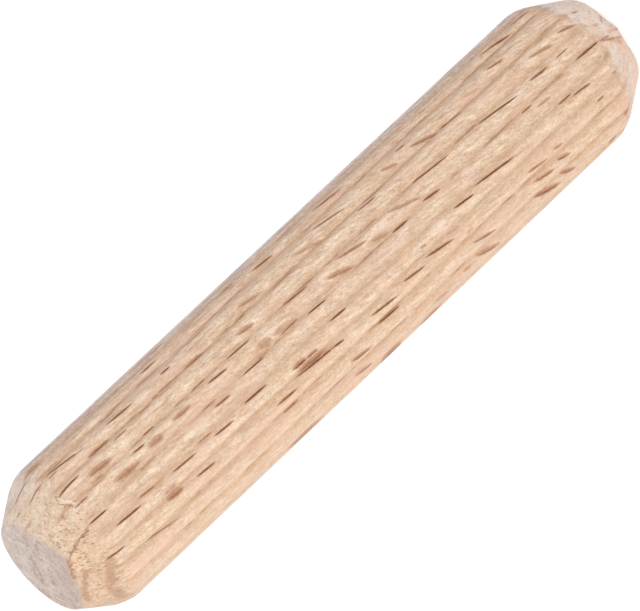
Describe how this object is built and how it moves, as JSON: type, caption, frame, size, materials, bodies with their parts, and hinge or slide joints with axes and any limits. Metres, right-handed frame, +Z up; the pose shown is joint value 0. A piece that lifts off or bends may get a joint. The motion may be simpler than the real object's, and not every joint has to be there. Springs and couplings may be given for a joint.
{
  "type": "dowel pin",
  "caption": "Straight fluted wooden dowel pin with chamfered ends, glued and pressed into drilled holes to line up and join wooden parts.",
  "frame": {"origin": "middle of the bottom end face, on the surface that the pin stands on", "axes": "+Z up along the pin's axis, +X through the bottom of a flute; the pin stands on its end"},
  "size_m": [0.008, 0.008, 0.04],
  "materials": {
    "beech": "bare machined beech, unsanded, with pressed flutes and rough end grain"
  },
  "bodies": {
    "root": {"dowel_pin": "beech"}
  },
  "joints": []
}
